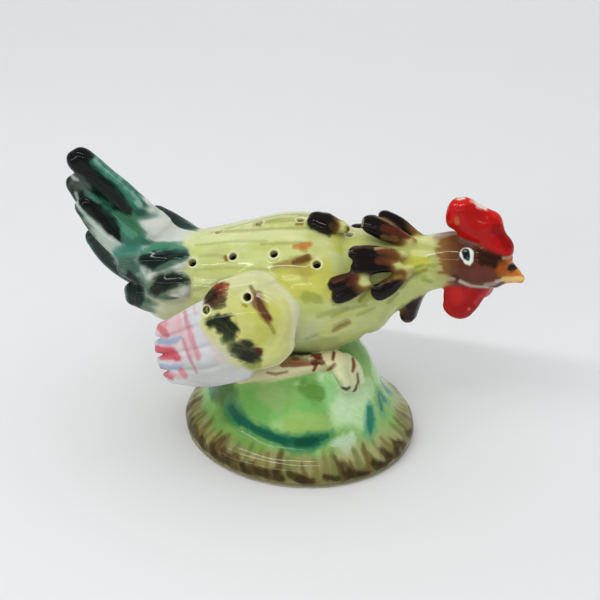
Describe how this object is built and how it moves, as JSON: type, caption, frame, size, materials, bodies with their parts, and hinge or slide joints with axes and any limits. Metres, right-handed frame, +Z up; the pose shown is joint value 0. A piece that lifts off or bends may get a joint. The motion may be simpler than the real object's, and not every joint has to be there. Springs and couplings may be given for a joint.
{
  "type": "ceramic hen cocktail stick holder",
  "caption": "Hollow glazed ceramic hen on a domed oval mound, its back and wings pierced with small holes that hold cocktail sticks upright.",
  "frame": {"origin": "under the middle of the bounding box, on the surface that the mound stands on", "axes": "+X is the way the hen faces and the longest extent, +Z is up, -Y is the hen's right side"},
  "size_m": [0.166, 0.0807, 0.112],
  "materials": {
    "body_glaze": "lemon and lime washes brushed over white clay, clear gloss glaze",
    "head_glaze": "chocolate brown, clear gloss glaze",
    "beak_glaze": "orange, clear gloss glaze",
    "comb_glaze": "bright red, clear gloss glaze, chipped to white on the comb's edge",
    "tail_root_glaze": "bare white clay with green washes, clear gloss glaze",
    "tail_glaze": "blue-green washes and near-black tips, clear gloss glaze",
    "hackle_glaze": "black-brown tips running to rust, clear gloss glaze",
    "wing_glaze": "lemon with dark brown dabs, clear gloss glaze",
    "flight_feather_glaze": "white with rose and pale blue strokes, clear gloss glaze",
    "leg_glaze": "cream with rust bars, clear gloss glaze",
    "mound_glaze": "apple green with a dark teal ring and brown strokes round the brim, clear gloss glaze"
  },
  "bodies": {
    "root": {"beak": "beak_glaze", "body_shell": "body_glaze", "comb": "comb_glaze", "flight_feathers_left": "flight_feather_glaze", "flight_feathers_right": "flight_feather_glaze", "foot_left": "leg_glaze", "foot_right": "leg_glaze", "hackle_back": "hackle_glaze", "hackle_breast": "hackle_glaze", "hackle_crest_left": "hackle_glaze", "hackle_crest_right": "hackle_glaze", "hackle_neck_middle_left": "hackle_glaze", "hackle_neck_middle_right": "hackle_glaze", "hackle_neck_upper_left": "hackle_glaze", "hackle_neck_upper_right": "hackle_glaze", "hackle_shoulder_lower_left": "hackle_glaze", "hackle_shoulder_lower_right": "hackle_glaze", "hackle_shoulder_upper_left": "hackle_glaze", "hackle_shoulder_upper_right": "hackle_glaze", "hackle_throat_left": "hackle_glaze", "hackle_throat_right": "hackle_glaze", "head": "head_glaze", "leg_left": "leg_glaze", "leg_right": "leg_glaze", "mound": "mound_glaze", "rump_covert_lower_left": "tail_glaze", "rump_covert_lower_right": "tail_glaze", "rump_covert_upper_left": "tail_glaze", "rump_covert_upper_right": "tail_glaze", "tail_feather_lower": "tail_glaze", "tail_feather_top": "tail_glaze", "tail_feather_upper": "tail_glaze", "tail_root": "tail_root_glaze", "tail_side_covert_left": "tail_glaze", "tail_side_covert_lower_left": "tail_glaze", "tail_side_covert_lower_right": "tail_glaze", "tail_side_covert_right": "tail_glaze", "tail_side_feather_left": "tail_glaze", "tail_side_feather_right": "tail_glaze", "wattle_left": "comb_glaze", "wattle_right": "comb_glaze", "wing_shoulder_left": "wing_glaze", "wing_shoulder_right": "wing_glaze"}
  },
  "joints": []
}
